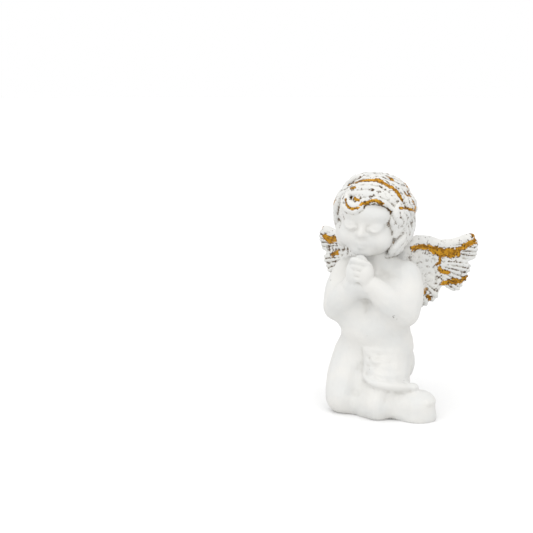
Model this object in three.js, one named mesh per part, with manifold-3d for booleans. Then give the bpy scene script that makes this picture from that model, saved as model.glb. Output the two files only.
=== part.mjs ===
// Small kneeling cherub figurine, cast in one piece: chubby child with folded hands, curly hair,
// two short wings and a loincloth that trails round the left leg. Painted matt white, with gilding
// rubbed into the hair and the wings.
// Millimetres, +Z up. The figure faces -Y, so its left hand is at +X. The origin is on the underside.
import * as THREE from "three";
import { mergeVertices } from "three/addons/utils/BufferGeometryUtils.js";
import Module from "manifold-3d";

const wasm = await Module();
wasm.setup();

const at = (x, y, z) => new THREE.Vector3(x, y, z);
const degrees = THREE.MathUtils.degToRad;
const { lerp, clamp } = THREE.MathUtils;

// Driving dimensions: trunk and legs
const PELVIS = { centre: at(-1, 1.5, 16.2), radii: at(9, 8.2, 8) };
const BELLY = { centre: at(-0.4, -1, 23), radii: at(8.5, 7.4, 7.6) };
const CHEST = { centre: at(0, 0.4, 32.6), radii: at(7.8, 6, 8.2) };
const BUTTOCK = { centre: at(3.8, 4.8, 12.4), radii: at(4.9, 5.2, 6) };
const YOKE = { centre: at(0, 0.3, 36.6), radii: at(9.6, 4.8, 4.8) };
const NECK = { low: at(0.2, 0, 38), high: at(0, -1.4, 46), radius: 4.4 };
const LAP = { centre: at(-0.4, -2.2, 3), radii: at(6.2, 8.4, 6.6) };
const RIGHT_LEG = { hip: at(-5.4, 0.5, 15), knee: at(-6.2, -5.4, 4.4), ankle: at(-4.6, 8, 2.8) };
const LEFT_LEG = { hip: at(3.8, 0.5, 15), knee: at(4.8, -7.2, 3.6), ankle: at(11.6, -4.8, 3.6) };
const LEG_RADII = { hip: 6, knee: 5.4, calf: 4.4, ankle: 3.6 };
const RIGHT_FOOT = { centre: at(-4, 11, 2.2), radii: at(3, 4.6, 3.4) };
const LEFT_FOOT = { centre: at(14.2, -3.8, 5), radii: at(4.3, 3.6, 2.7) };
const FOOT_BED = { centre: at(12.8, -4, 1.2), radii: at(5.8, 5, 4.2) };
const TRUNK_TOP = 45;
const TRUNK_SOFTNESS = 3.2;
const LEG_SOFTNESS = 1.6;

// Driving dimensions: loincloth over the left thigh
const CLOTH = { hip: at(3.6, 0, 16), knee: at(4.4, -5.4, 11.4), hipRadius: 6.4, kneeRadius: 5.6 };
const CLOTH_EDGE = { top: at(-0.2, -6.6, 18), bottom: at(0.4, -10, 10.4) };
const HEM = { start: at(0.2, -10.4, 10.2), middle: at(6, -12.4, 9.2), end: at(12.2, -4.4, 8.2) };
const HEM_RADIUS = 1.3;
const FOLD = { count: 2, start: at(0.6, -8.9, 13), end: at(8.6, -6.4, 12.4), radius: 1 };
const FOLD_STEP = at(0, 0.8, 2.4);
const FOLD_SAG = at(0, -1.6, -0.4);

// Driving dimensions: arms and clasped hands
const SHOULDER = { centre: at(7.7, 0.6, 36.4), radius: 4.6 };
const ELBOW = { centre: at(9.2, -3.6, 28), radius: 4.2 };
const HANDS = { x: -0.4, wrist: at(2.2, -9, 35.2), wristRadius: 2.6 };
const PALM = { centre: at(1.3, -10.2, 38.4), radii: at(1.7, 2.3, 3.4) };
const FINGER = { count: 4, pitch: 1.15, radius: 0.85, topZ: 41.4, knuckleOut: 0.8, tipOut: 2.6 };
const FINGER_Y = { knuckle: -11.8, tip: -10.6, step: 0.2 };
const FINGER_DROP = 1;
const THUMB = { root: at(1.5, -9, 38.6), tip: at(0.5, -9.8, 42.4), radius: 1.1 };
const ARM_SOFTNESS = 1.4;

// Driving dimensions: head and face
const HEAD = { centre: at(-0.5, -1.9, 52.8), pitch: degrees(9), roll: degrees(6), turn: degrees(3) };
const SKULL = { centre: at(0, 0.6, 0.6), radii: at(8.8, 9.3, 8.2) };
const NAPE = { centre: at(0, 2.8, -4.6), radii: at(7.6, 6.8, 6) };
const JAW = { centre: at(0, -3, -4.6), radii: at(6.8, 5.8, 5.6) };
const CHEEK = { centre: at(3.7, -5.2, -4.6), radii: at(3.3, 3.2, 3.2) };
const BROW = { centre: at(0, -5.6, 2), radii: at(6.6, 3.8, 3.4) };
const CHIN = { centre: at(0, -7.3, -8.4), radii: at(2.4, 1.9, 1.7) };
const NOSE = { bridge: at(0, -8.4, -0.6), tip: at(0, -9, -3.2), bridgeRadius: 1, tipRadius: 1.4 };
const LIPS = { centre: at(0, -8.5, -5.8), radii: at(1.8, 1, 0.9) };
const EYELID = { centre: at(3.2, -7.6, -1), radii: at(1.8, 1.2, 1.2) };
const FACE_SOFTNESS = 1.2;

// Driving dimensions: hair, laid on an egg a little larger than the skull
const HAIR = { centre: at(0, 0.9, 0.8), radii: at(8.9, 9.2, 7.5), fall: 10.5, softness: 0.6 };
const LOCK_RADIUS = 2.4;
const LOCK_STEPS = 5;

// Driving dimensions: wings, set out flat with x outward, then cupped and swept back
const WING = { rootX: 2.6, rootY: 5.2, sweep: degrees(33), span: 24, cup: 1.6, flatness: 2.4 };
const WING_EDGE = [at(0, 0, 37), at(5, 0, 43.6), at(9.5, 0, 44.3), at(15, 0, 43.4), at(21.8, 0, 45.6)];
const WING_EDGE_RADIUS = { root: 2.2, tip: 1.1 };
const WING_MIDDLE = at(8, 0, 38.6);
const WING_WEB = { centre: at(6.5, 0, 37.4), radii: at(8, 3, 8.6) };
const QUILL = { rootRadius: 1.6, tipRadius: 2.1, layer: 0.8, softness: 0.4 };
const QUILL_GROUPS = [
  { root: at(8, 0, 42.6), count: 3, first: 3.4, step: -4.8, length: 13.8, shorter: 0.3 },
  { root: at(7, 0, 39.6), count: 3, first: -9.5, step: -11.5, length: 13.2, shorter: 0.4 },
  { root: at(6, 0, 36), count: 3, first: -48, step: -21, length: 8.2, shorter: 0.7 },
];

const RESIN = { color: 0xf1f0ec, roughness: 0.82, metalness: 0 };

// The forms below give the distance from a point to a lump of clay: negative inside, zero on its skin

function egg({ centre, radii }) {
  const toUnit = at(1 / radii.x, 1 / radii.y, 1 / radii.z);
  const local = new THREE.Vector3();
  return (point) => {
    local.subVectors(point, centre).multiply(toUnit);
    const reach = local.length();
    const slope = local.multiply(toUnit).length();
    return slope > 1e-9 ? (reach * (reach - 1)) / slope : -Math.min(radii.x, radii.y, radii.z);
  };
}

function limb(start, end, startRadius, endRadius) {
  const along = end.clone().sub(start);
  const local = new THREE.Vector3();
  return (point) => {
    local.subVectors(point, start);
    const share = clamp(local.dot(along) / along.lengthSq(), 0, 1);
    return local.addScaledVector(along, -share).length() - lerp(startRadius, endRadius, share);
  };
}

// A tapering roll along a curve, such as a lock of hair or a hem
function roll(curve, steps, startRadius, endRadius) {
  const points = curve.getPoints(steps);
  const radiusAt = (i) => lerp(startRadius, endRadius, i / steps);
  return points.slice(1).map((end, i) => limb(points[i], end, radiusAt(i), radiusAt(i + 1)));
}

// Lumps pressed together, with the joins smoothed over by about the softness
function blended(softness, lumps) {
  return (point) =>
    lumps.reduce((nearest, lump) => {
      const distance = lump(point);
      const overlap = Math.max(softness - Math.abs(nearest - distance), 0) / softness;
      return Math.min(nearest, distance) - (overlap * overlap * softness) / 4;
    }, Infinity);
}

const mirrorX = (v) => at(-v.x, v.y, v.z);
const pair = ({ centre, radii }) => [egg({ centre, radii }), egg({ centre: mirrorX(centre), radii })];

// Moves a vertex in along its ray, from the reach to the first clay that it meets
function moveToSkin(vertex, origin, direction, reach, clay) {
  const CAUTION = 0.7;
  const CLOSE = 0.01;
  let travel = reach;
  for (let step = 0; step < 120 && travel > 0; step++) {
    vertex.copy(origin).addScaledVector(direction, travel);
    const distance = clay(vertex);
    if (distance < CLOSE) return;
    travel -= Math.max(distance * CAUTION, CLOSE);
  }
}

function reshape(geometry, move) {
  const position = geometry.getAttribute("position");
  const vertex = new THREE.Vector3();
  for (let i = 0; i < position.count; i++) {
    vertex.fromBufferAttribute(position, i);
    move(vertex);
    position.setXYZ(i, vertex.x, vertex.y, vertex.z);
  }
  return geometry;
}

function solidOf(geometry) {
  geometry.deleteAttribute("normal");
  geometry.deleteAttribute("uv");
  const merged = mergeVertices(geometry, 1e-4);
  const corners = [];
  for (let i = 0; i < merged.index.count; i += 3) {
    const [a, b, c] = [0, 1, 2].map((k) => merged.index.getX(i + k));
    if (a !== b && b !== c && c !== a) corners.push(a, b, c);
  }
  return new wasm.Manifold(
    new wasm.Mesh({
      numProp: 3,
      vertProperties: merged.attributes.position.array,
      triVerts: new Uint32Array(corners),
    }),
  );
}

function geometryOf(solid) {
  const mesh = solid.getMesh();
  const geometry = new THREE.BufferGeometry();
  geometry.setAttribute("position", new THREE.BufferAttribute(mesh.vertProperties, 3));
  geometry.setIndex(new THREE.BufferAttribute(mesh.triVerts, 1));
  geometry.computeVertexNormals();
  return geometry;
}

const joined = (solids) => solids.reduce((whole, solid) => whole.add(solid));

function flipped(geometry) {
  const index = geometry.getIndex();
  for (let i = 0; i < index.count; i += 3) {
    const corner = index.getX(i);
    index.setX(i, index.getX(i + 1));
    index.setX(i + 1, corner);
  }
  return geometry;
}

// Creases that run across the loincloth, from its free edge to the hip
function foldClay() {
  const folds = [];
  for (let i = 0; i < FOLD.count; i++) {
    const start = FOLD.start.clone().addScaledVector(FOLD_STEP, i);
    const end = FOLD.end.clone().addScaledVector(FOLD_STEP, i);
    const middle = start.clone().lerp(end, 0.4).add(FOLD_SAG);
    const crease = new THREE.QuadraticBezierCurve3(start, middle, end);
    folds.push(...roll(crease, LOCK_STEPS, FOLD.radius, FOLD.radius));
  }
  return blended(FOLD.radius, folds);
}

function trunkClay() {
  const thigh = ({ hip, knee }) => limb(hip, knee, LEG_RADII.hip, LEG_RADII.knee);
  const flesh = blended(TRUNK_SOFTNESS, [
    ...[PELVIS, BELLY, CHEST, YOKE].map(egg),
    ...pair(BUTTOCK),
    limb(NECK.low, NECK.high, NECK.radius, NECK.radius),
  ]);
  const hem = new THREE.QuadraticBezierCurve3(HEM.start, HEM.middle, HEM.end);
  const clothed = blended(LEG_SOFTNESS, [
    flesh,
    ...[RIGHT_LEG, LEFT_LEG].map(thigh),
    egg(LAP),
    limb(CLOTH.hip, CLOTH.knee, CLOTH.hipRadius, CLOTH.kneeRadius),
    limb(CLOTH_EDGE.top, CLOTH_EDGE.bottom, HEM_RADIUS, HEM_RADIUS),
    ...roll(hem, LOCK_STEPS, HEM_RADIUS, HEM_RADIUS),
  ]);
  return blended(FOLD.radius, [clothed, foldClay()]);
}

// Trunk, thighs and loincloth: a column turned on a spine, then pressed on to the clay
function trunkSolid() {
  const RINGS = 29;
  const SPOKES = 36;
  const REACH = 30;
  const BASE_SPINE = at(-0.5, -1.5, 0);
  const UPRIGHT_ABOVE = 16;
  const CLOTH_CLOSER = 0.07;
  const CLOTH_SHARE = 0.36;
  const wave = (share) => CLOTH_CLOSER * Math.sin(2 * Math.PI * (share - CLOTH_SHARE));
  const profile = [new THREE.Vector2(0, 0)];
  for (let ring = 0; ring <= RINGS; ring++) {
    const share = ring / RINGS;
    profile.push(new THREE.Vector2(1, TRUNK_TOP * (share - wave(share) + wave(0))));
  }
  profile.push(new THREE.Vector2(0, TRUNK_TOP));
  const clay = trunkClay();
  const spine = new THREE.Vector3();
  const outward = new THREE.Vector3();
  const turned = new THREE.LatheGeometry(profile, SPOKES).rotateX(Math.PI / 2);
  reshape(turned, (vertex) => {
    const lean = 1 - clamp(vertex.z / UPRIGHT_ABOVE, 0, 1);
    spine.set(BASE_SPINE.x * lean, BASE_SPINE.y * lean, vertex.z);
    outward.set(vertex.x, vertex.y, 0);
    if (outward.length() < 0.5) vertex.copy(spine);
    else moveToSkin(vertex, spine.clone(), outward.normalize(), REACH, clay);
  });
  return solidOf(turned);
}

// A ball about a point inside a lump of clay, pressed on to its skin, with the ball's poles on an axis
function pressedBall(centre, axis, sides, bands, reach, clay) {
  const turn = new THREE.Quaternion().setFromUnitVectors(at(0, 1, 0), axis.clone().normalize());
  return reshape(new THREE.SphereGeometry(1, sides, bands), (vertex) => {
    vertex.normalize().applyQuaternion(turn);
    moveToSkin(vertex, centre, vertex.clone(), reach, clay);
  });
}

// A bead stretched between two points, such as a finger
function stretchedBead(start, end, startRadius, endRadius, sides = 6, bands = 4) {
  const axis = end.clone().sub(start).normalize();
  const turn = new THREE.Quaternion().setFromUnitVectors(at(0, 1, 0), axis);
  return reshape(new THREE.SphereGeometry(1, sides, bands), (vertex) => {
    const far = vertex.y > 1e-6;
    vertex.multiplyScalar(far ? endRadius : startRadius).applyQuaternion(turn);
    vertex.add(far ? end : start);
  });
}

const roundedLump = ({ centre, radii }, sides, bands) =>
  new THREE.SphereGeometry(1, sides, bands).scale(...radii.toArray()).translate(...centre.toArray());

// The left lower leg lies out to the side, with its foot on a lump of the same clay
function leftLegSolid() {
  const { knee, ankle } = LEFT_LEG;
  const start = knee.clone().setZ(LEG_RADII.calf);
  const clay = blended(LEG_SOFTNESS, [
    limb(start, ankle, LEG_RADII.calf, LEG_RADII.ankle),
    egg(LEFT_FOOT),
    egg(FOOT_BED),
  ]);
  const middle = start.clone().lerp(LEFT_FOOT.centre, 0.6);
  return solidOf(pressedBall(middle, at(0, 0, 1), 20, 12, 16, clay));
}

// The right lower leg lies under the trunk, with its foot behind
function rightLegSolid() {
  const { knee, ankle } = RIGHT_LEG;
  const start = knee.clone().setZ(LEG_RADII.calf);
  const calf = limb(start, ankle, LEG_RADII.calf, LEG_RADII.ankle);
  const clay = blended(LEG_SOFTNESS, [calf, egg(RIGHT_FOOT)]);
  const middle = start.clone().lerp(RIGHT_FOOT.centre, 0.55);
  return solidOf(pressedBall(middle, at(0, 1, 0), 14, 13, 16, clay));
}

function armSolids(side) {
  const shoulder = side > 0 ? SHOULDER.centre : mirrorX(SHOULDER.centre);
  const elbow = side > 0 ? ELBOW.centre : mirrorX(ELBOW.centre);
  const acrossHands = ({ x, y, z }) => at(HANDS.x + side * x, y, z);
  const wrist = acrossHands(HANDS.wrist);
  const clay = blended(ARM_SOFTNESS, [
    limb(shoulder, elbow, SHOULDER.radius, ELBOW.radius),
    limb(elbow, wrist, ELBOW.radius, HANDS.wristRadius),
  ]);
  const forms = [
    pressedBall(elbow, shoulder.clone().sub(elbow), 18, 13, 20, clay),
    roundedLump({ centre: acrossHands(PALM.centre), radii: PALM.radii }, 10, 7),
    stretchedBead(acrossHands(THUMB.root), acrossHands(THUMB.tip), THUMB.radius, THUMB.radius),
  ];
  for (let finger = 0; finger < FINGER.count; finger++) {
    const z = FINGER.topZ - FINGER.pitch * (finger + (side > 0 ? 0.5 : 0));
    const back = FINGER_Y.step * finger;
    const knuckle = acrossHands(at(FINGER.knuckleOut, FINGER_Y.knuckle + back, z));
    const tip = acrossHands(at(-FINGER.tipOut, FINGER_Y.tip + back, z - FINGER_DROP));
    forms.push(stretchedBead(knuckle, tip, FINGER.radius, FINGER.radius));
  }
  return forms.map(solidOf);
}

// A point on the hair's egg: turn 0 is over the face and grows to the figure's left, 90 up is the crown
function onHair(turn, up, lift = 0) {
  const direction = at(
    Math.sin(degrees(turn)) * Math.cos(degrees(up)),
    -Math.cos(degrees(turn)) * Math.cos(degrees(up)),
    Math.sin(degrees(up)),
  );
  if (up < 0) {
    const fuller = Math.cos(degrees(up)) ** -0.5;
    direction.multiply(at(fuller, fuller, HAIR.fall / HAIR.radii.z));
  }
  return direction.multiply(HAIR.radii).multiplyScalar(1 + lift).add(HAIR.centre);
}

// A lock combed from one place on the head to another, waving to one side on its way
function lock(from, to, wave, radius = LOCK_RADIUS) {
  const points = [];
  for (let step = 0; step <= LOCK_STEPS; step++) {
    const share = step / LOCK_STEPS;
    const swing = wave * Math.sin(share * Math.PI * 1.6);
    const turn = lerp(from[0], to[0], share) + swing;
    points.push(onHair(turn, lerp(from[1], to[1], share), 0.01 * Math.sin(share * Math.PI)));
  }
  return roll(new THREE.CatmullRomCurve3(points), LOCK_STEPS, radius, radius * 0.6);
}

function hairLocks() {
  const locks = [];
  const CROWN = 8;
  for (let i = 0; i < CROWN; i++) {
    const turn = (360 * i) / CROWN;
    locks.push(lock([turn - 40, 78], [turn + 22, 36], 8));
  }
  for (let turn = 60; turn <= 300; turn += 30) {
    locks.push(lock([turn, 36], [turn, -6], 4));
    if (turn < 300) locks.push(lock([turn + 15, -2], [turn + 15, -60], -4));
  }
  locks.push(lock([-40, 42], [38, 30], 6));
  locks.push(lock([-66, 36], [-26, 24], -6, LOCK_RADIUS * 0.8));
  locks.push(lock([0, 34], [60, 14], 5, LOCK_RADIUS * 0.8));
  locks.push(lock([-62, 28], [-66, -4], -8, LOCK_RADIUS * 0.8));
  locks.push(lock([56, 20], [64, -10], 8, LOCK_RADIUS * 0.8));
  return locks.flat();
}

function headClay() {
  const face = blended(FACE_SOFTNESS, [
    ...[SKULL, NAPE, JAW, BROW, CHIN].map(egg),
    ...pair(CHEEK),
  ]);
  return blended(HAIR.softness, [face, ...hairLocks()]);
}

// Head: a ball pressed on to the face and the hair, with the small features added
function headSolid() {
  const AROUND = 48;
  const DOWN = 30;
  const REACH = 18;
  const clay = headClay();
  const middle = new THREE.Vector3();
  const ball = reshape(new THREE.SphereGeometry(1, AROUND, DOWN).rotateX(Math.PI / 2), (vertex) => {
    moveToSkin(vertex, middle, vertex.clone().normalize(), REACH, clay);
  });
  const features = [
    stretchedBead(NOSE.bridge, NOSE.tip, NOSE.bridgeRadius, NOSE.tipRadius, 8, 6),
    roundedLump(LIPS, 8, 6),
    roundedLump(EYELID, 8, 6),
    roundedLump({ centre: mirrorX(EYELID.centre), radii: EYELID.radii }, 8, 6),
  ];
  const nod = new THREE.Euler(HEAD.pitch, HEAD.roll, HEAD.turn, "ZYX");
  const pose = new THREE.Matrix4().makeRotationFromEuler(nod).setPosition(HEAD.centre);
  return joined([ball, ...features].map((form) => solidOf(form.applyMatrix4(pose))));
}

// Quills fanned in three groups over a web, behind a rounded leading edge
function wingClay() {
  const quills = QUILL_GROUPS.flatMap(({ root, count, first, step, length, shorter }) => {
    const fan = [];
    for (let i = 0; i < count; i++) {
      const angle = degrees(first + i * step);
      const start = root.clone().setY((i - 1) * QUILL.layer);
      const reach = at(Math.cos(angle), 0, Math.sin(angle)).multiplyScalar(length - i * shorter);
      fan.push(limb(start, start.clone().add(reach), QUILL.rootRadius, QUILL.tipRadius));
    }
    return fan;
  });
  const edge = roll(
    new THREE.CatmullRomCurve3(WING_EDGE),
    LOCK_STEPS * 2,
    WING_EDGE_RADIUS.root,
    WING_EDGE_RADIUS.tip,
  );
  const flat = blended(QUILL.softness, [...quills, egg(WING_WEB)]);
  const full = blended(QUILL.softness, edge);
  const thickened = new THREE.Vector3();
  return (point) => {
    thickened.copy(point).setY(point.y * WING.flatness);
    return Math.min(flat(thickened) / WING.flatness, full(point));
  };
}

// A flat pillow: its rim is pressed on to the wing's outline, then its two faces on to the quills
function wingSolid(side) {
  const AROUND = 48;
  const BANDS = 10;
  const FAN_CLOSER = 0.42;
  const FAN_TURN = degrees(-26);
  const REACH = { rim: 30, face: 8 };
  const clay = wingClay();
  const rim = new THREE.Vector3();
  const pillow = reshape(new THREE.SphereGeometry(1, AROUND, BANDS), (vertex) => {
    const share = Math.hypot(vertex.x, vertex.z);
    const face = Math.abs(vertex.y) > 1e-6 ? Math.sign(vertex.y) : 0;
    const even = Math.atan2(vertex.z, vertex.x);
    const turn = even - FAN_CLOSER * Math.sin(even - FAN_TURN);
    const outward = at(Math.cos(turn), 0, Math.sin(turn));
    moveToSkin(rim, WING_MIDDLE, outward, REACH.rim, clay);
    vertex.copy(WING_MIDDLE).lerp(rim, share);
    if (face) moveToSkin(vertex, vertex.clone(), at(0, face, 0), REACH.face, clay);
  });
  const sweep = new THREE.Matrix4().makeRotationZ(WING.sweep);
  reshape(pillow, (vertex) => {
    const share = clamp(vertex.x / WING.span, 0, 1);
    vertex.y += WING.cup * 4 * share * (1 - share);
    vertex.applyMatrix4(sweep);
    vertex.x = side * (vertex.x + WING.rootX);
    vertex.y += WING.rootY;
  });
  return solidOf(side < 0 ? flipped(pillow) : pillow);
}

// The whole casting, trimmed flat underneath
function figurineSolid() {
  const whole = joined([
    trunkSolid(),
    headSolid(),
    leftLegSolid(),
    rightLegSolid(),
    ...[-1, 1].flatMap((side) => [wingSolid(side), ...armSolids(side)]),
  ]);
  const BENCH = 80;
  const bench = new THREE.BoxGeometry(BENCH, BENCH, BENCH).translate(0, 0, -BENCH / 2);
  return whole.subtract(solidOf(bench));
}

const cherub = new THREE.Mesh(geometryOf(figurineSolid()), new THREE.MeshStandardMaterial(RESIN));
cherub.name = "kneeling_cherub";

const figurine = new THREE.Group();
figurine.add(cherub);

export default figurine;
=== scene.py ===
"""Kneeling cherub figurine: a small winged child with folded hands, cast in one piece and painted.

The figure is modelled like a clay original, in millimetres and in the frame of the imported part: +Z is up,
the figure faces -Y, and its left hand is at +X. Rough forms are pressed together first, finer ones follow,
and the finished casting is brought to metres by a factor that comes from the frame.
"""
import logging
import math
from collections.abc import Iterable
from dataclasses import dataclass, field
from enum import Enum

import bpy
import numpy as np
from mathutils import Euler, Matrix, Vector
from mathutils.bvhtree import BVHTree


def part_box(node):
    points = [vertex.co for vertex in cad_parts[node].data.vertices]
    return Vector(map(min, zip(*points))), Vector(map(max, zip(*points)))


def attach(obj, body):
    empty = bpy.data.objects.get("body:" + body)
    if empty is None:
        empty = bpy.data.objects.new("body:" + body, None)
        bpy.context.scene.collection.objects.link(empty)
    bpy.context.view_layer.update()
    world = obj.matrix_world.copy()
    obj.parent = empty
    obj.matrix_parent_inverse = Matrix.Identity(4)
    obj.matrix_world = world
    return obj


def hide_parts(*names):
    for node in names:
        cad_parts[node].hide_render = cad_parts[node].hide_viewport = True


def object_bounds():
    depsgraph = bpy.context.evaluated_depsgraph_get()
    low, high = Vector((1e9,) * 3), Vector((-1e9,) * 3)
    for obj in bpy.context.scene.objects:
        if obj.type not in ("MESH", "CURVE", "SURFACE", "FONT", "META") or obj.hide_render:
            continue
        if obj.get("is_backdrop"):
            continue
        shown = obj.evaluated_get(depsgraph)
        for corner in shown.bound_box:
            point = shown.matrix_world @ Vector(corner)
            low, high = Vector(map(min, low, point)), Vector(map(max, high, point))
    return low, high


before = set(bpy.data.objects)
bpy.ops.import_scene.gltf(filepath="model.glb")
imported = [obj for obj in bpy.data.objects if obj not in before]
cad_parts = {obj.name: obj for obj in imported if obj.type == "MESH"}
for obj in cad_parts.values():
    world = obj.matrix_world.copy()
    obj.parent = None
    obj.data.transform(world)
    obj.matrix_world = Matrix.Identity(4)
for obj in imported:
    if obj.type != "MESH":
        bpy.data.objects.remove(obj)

log = logging.getLogger("kneeling_cherub")

Point = tuple[float, float, float]
Angles = tuple[float, float]
Span = tuple[float, float]
Colour = tuple[float, float, float, float]

NODE = "kneeling_cherub"
FIGURE_HEIGHT = 63.71
ROUGH_GRAIN = 0.42
BODY_GRAIN = 0.32
FINE_GRAIN = 0.25
CAST_GRAIN = 0.22
MOST_TRIANGLES = 190_000
HOLLOW_ROUNDS = 6
HOLLOW_DEPTH = 0.5
FLAT = 0.5


class Side(Enum):
    """The figure's own right and left."""

    RIGHT = -1
    LEFT = 1


def pick(*objects: bpy.types.Object) -> None:
    """Selects these objects alone and makes the first one active.

    Args:
        objects: The objects that the next operator works on.
    """
    bpy.ops.object.select_all(action="DESELECT")
    for obj in objects:
        obj.select_set(True)
    bpy.context.view_layer.objects.active = objects[0]


def modify(obj: bpy.types.Object, kind: str, **settings: object) -> None:
    """Adds one modifier to an object and applies it.

    Args:
        obj: The object to work on.
        kind: The modifier's type.
        settings: The modifier's own values.
    """
    pick(obj)
    bpy.ops.object.modifier_add(type=kind)
    modifier = obj.modifiers[-1]
    for name, value in settings.items():
        setattr(modifier, name, value)
    bpy.ops.object.modifier_apply(modifier=modifier.name)


def corners(obj: bpy.types.Object) -> np.ndarray:
    """Reads the places of a mesh's vertices.

    Args:
        obj: The mesh object.

    Returns:
        One row of x, y and z for each vertex.
    """
    flat = np.empty(len(obj.data.vertices) * 3)
    obj.data.vertices.foreach_get("co", flat)
    return flat.reshape(-1, 3)


def normals(obj: bpy.types.Object) -> np.ndarray:
    """Reads the outward directions at a mesh's vertices.

    Args:
        obj: The mesh object.

    Returns:
        One unit row for each vertex.
    """
    flat = np.empty(len(obj.data.vertices) * 3)
    obj.data.vertex_normals.foreach_get("vector", flat)
    return flat.reshape(-1, 3)


def reshape(obj: bpy.types.Object, places: np.ndarray) -> None:
    """Moves a mesh's vertices to new places.

    Args:
        obj: The mesh object.
        places: One row for each vertex.
    """
    obj.data.vertices.foreach_set("co", places.ravel())
    obj.data.update()


def smooth_line(knots: np.ndarray, steps: int) -> np.ndarray:
    """Runs a smooth line through rows of numbers.

    Args:
        knots: The rows that the line passes through.
        steps: The number of pieces between two knots.

    Returns:
        The rows along the line, both ends included.
    """
    padded = np.vstack([2 * knots[0] - knots[1], knots, 2 * knots[-1] - knots[-2]])
    share = np.linspace(0, 1, steps, endpoint=False)[:, None]
    pieces = []
    for a, b, c, d in zip(padded, padded[1:], padded[2:], padded[3:]):
        bend = 2 * a - 5 * b + 4 * c - d
        twist = 3 * b - a - 3 * c + d
        pieces.append(0.5 * (2 * b + (c - a) * share + bend * share**2 + twist * share**3))
    return np.vstack([*pieces, knots[-1]])


def eased(value: np.ndarray, low: float, high: float) -> np.ndarray:
    """Rises softly from nought to one between two values.

    Args:
        value: The values to ease.
        low: Where the rise starts.
        high: Where the rise ends.

    Returns:
        The shares, from nought to one.
    """
    share = np.clip((value - low) / (high - low), 0, 1)
    return share * share * (3 - 2 * share)


def weather(form: bpy.types.Object, size: float, depth: float) -> None:
    """Makes a cast surface uneven.

    Args:
        form: The mesh object, in millimetres.
        size: The size of the unevenness.
        depth: Its full height.
    """
    grain = bpy.data.textures.new(form.name + "_grain", "CLOUDS")
    grain.noise_scale = size
    modify(form, "DISPLACE", texture=grain, texture_coords="LOCAL", strength=depth, mid_level=0.5)


def mesh_data(*objects: bpy.types.Object) -> tuple[list[list[float]], list[list[int]]]:
    """Lists the corners and faces of several meshes as one.

    Args:
        objects: The mesh objects.

    Returns:
        All the corners, and the faces by their corners' numbers.
    """
    places: list[list[float]] = []
    faces: list[list[int]] = []
    for obj in objects:
        start = len(places)
        faces += [[start + corner for corner in face.vertices] for face in obj.data.polygons]
        places += corners(obj).tolist()
    return places, faces


def near(places: np.ndarray, skin: BVHTree, close: float, far: float) -> np.ndarray:
    """Tells how near places are to another mesh.

    Args:
        places: Rows of x, y and z.
        skin: The other mesh.
        close: The distance that counts as touching.
        far: The distance from which nothing counts.

    Returns:
        One where a place touches the mesh, nought where it is far away.
    """
    found = (skin.find_nearest(place, far)[3] for place in places.tolist())
    gaps = np.array([far if gap is None else gap for gap in found])
    return 1 - eased(gaps, close, far)


def hollows(obj: bpy.types.Object) -> np.ndarray:
    """Measures how hollow a mesh is at each vertex.

    Args:
        obj: The mesh object, in millimetres.

    Returns:
        A half where it is flat, more in furrows and less on ridges.
    """
    links = np.empty(len(obj.data.edges) * 2, int)
    obj.data.edges.foreach_get("vertices", links)
    one, other = links.reshape(-1, 2).T
    places = corners(obj)
    count = np.bincount(links, minlength=len(places))[:, None]
    smooth = places
    for _ in range(HOLLOW_ROUNDS):
        total = np.zeros_like(places)
        for axis in range(3):
            total[:, axis] = np.bincount(one, smooth[other, axis], len(places))
            total[:, axis] += np.bincount(other, smooth[one, axis], len(places))
        smooth = total / count
    depth = np.einsum("ij,ij->i", smooth - places, normals(obj))
    return np.clip(FLAT + depth / HOLLOW_DEPTH, 0, 1)


@dataclass(frozen=True)
class Egg:
    """A rounded lump of clay: its middle, its three radii and its lean in degrees."""

    centre: Point
    radii: Point
    lean: Point = (0.0, 0.0, 0.0)

    def mirrored(self) -> "Egg":
        """The same lump on the figure's other side."""
        (x, y, z), (a, b, c) = self.centre, self.lean
        return Egg((-x, y, z), self.radii, (a, -b, -c))

    def model(self) -> bpy.types.Object:
        """Adds the lump as a mesh.

        Returns:
            The new object, with its place in its mesh.
        """
        lean = [math.radians(angle) for angle in self.lean]
        bpy.ops.mesh.primitive_uv_sphere_add(
            segments=48, ring_count=24, location=self.centre, rotation=lean, scale=self.radii
        )
        bpy.ops.object.transform_apply()
        return bpy.context.object


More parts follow.
